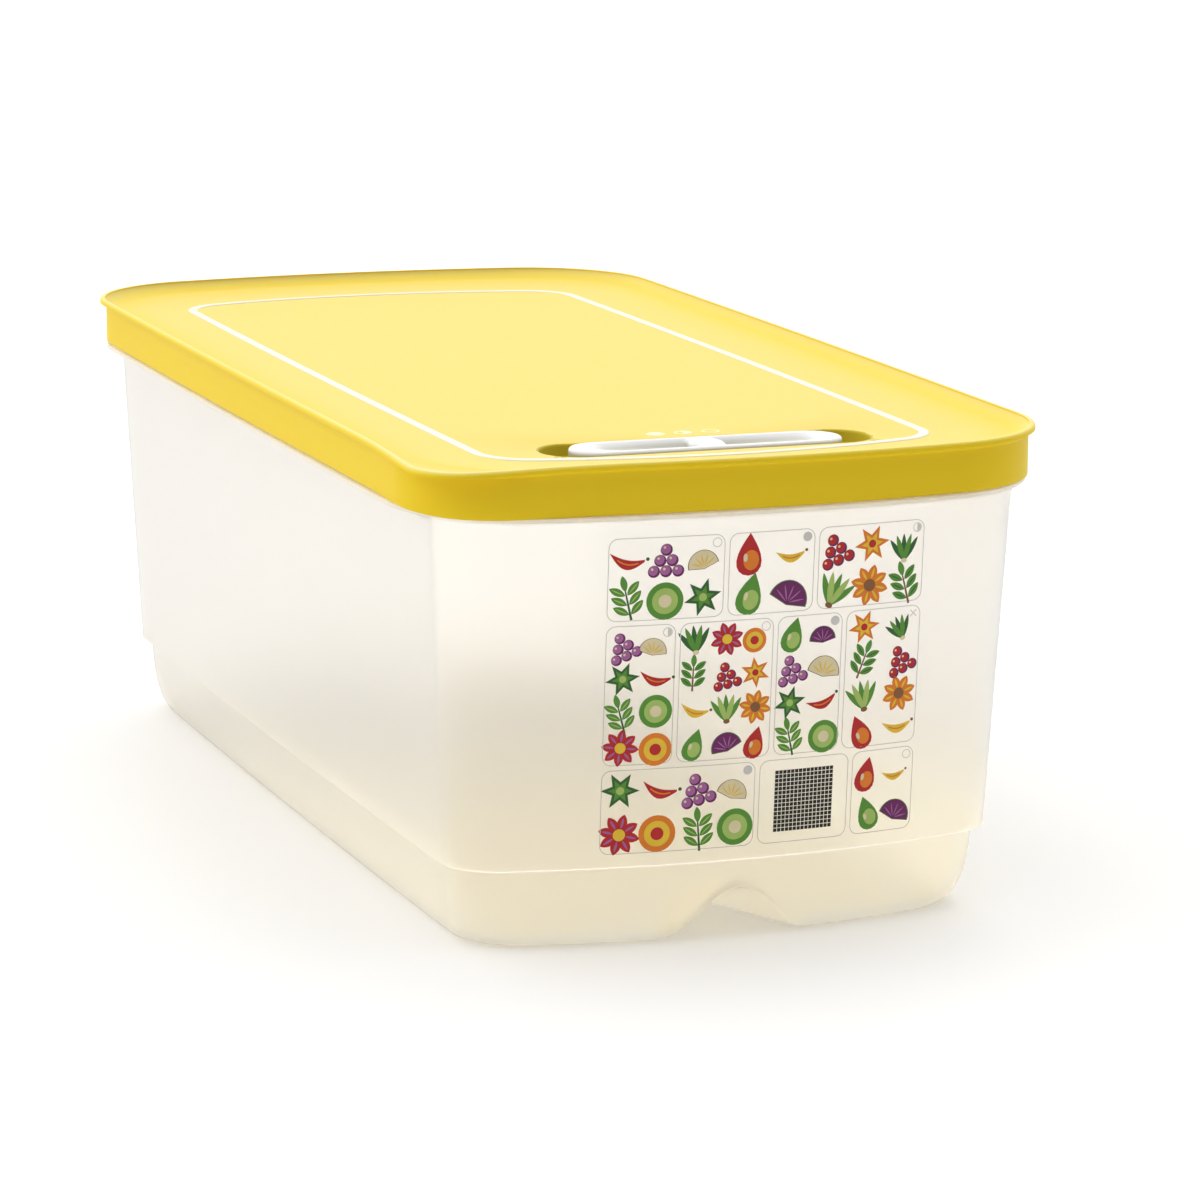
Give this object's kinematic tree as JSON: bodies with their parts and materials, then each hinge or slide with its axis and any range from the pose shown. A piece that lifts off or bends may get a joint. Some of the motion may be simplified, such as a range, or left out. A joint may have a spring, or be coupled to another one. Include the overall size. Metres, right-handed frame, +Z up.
{
  "type": "vented food storage container",
  "caption": "Long frosted fridge keeper with a soft press-on lid, a sliding air vent, a printed chart and a finger notch in its base.",
  "frame": {"origin": "centre of the foot on the surface it stands on", "axes": "+Z up, +Y along the keeper away from the chart end, +X to the right seen from the chart end"},
  "size_m": [0.186, 0.379, 0.135],
  "materials": {
    "frosted_tub": "frosted translucent, satin outside",
    "soft_lid": "fine matte, slightly waxy",
    "white_vent": "smooth gloss",
    "printed_film": "clear print film with coloured inks"
  },
  "bodies": {
    "tub": {"container_tub": "frosted_tub", "chart_film": "printed_film"},
    "lid": {"lid_seal": "soft_lid"},
    "vent": {"vent_slider": "white_vent", "vent_keeper": "white_vent"}
  },
  "joints": [
    {"name": "lid_lift", "type": "slide", "parent": "tub", "child": "lid", "axis": [0, 0, 1], "range_m": [0, 0.06]},
    {"name": "vent_slide", "type": "slide", "parent": "lid", "child": "vent", "axis": [1, 0, 0], "range_m": [-0.008, 0.008]}
  ]
}
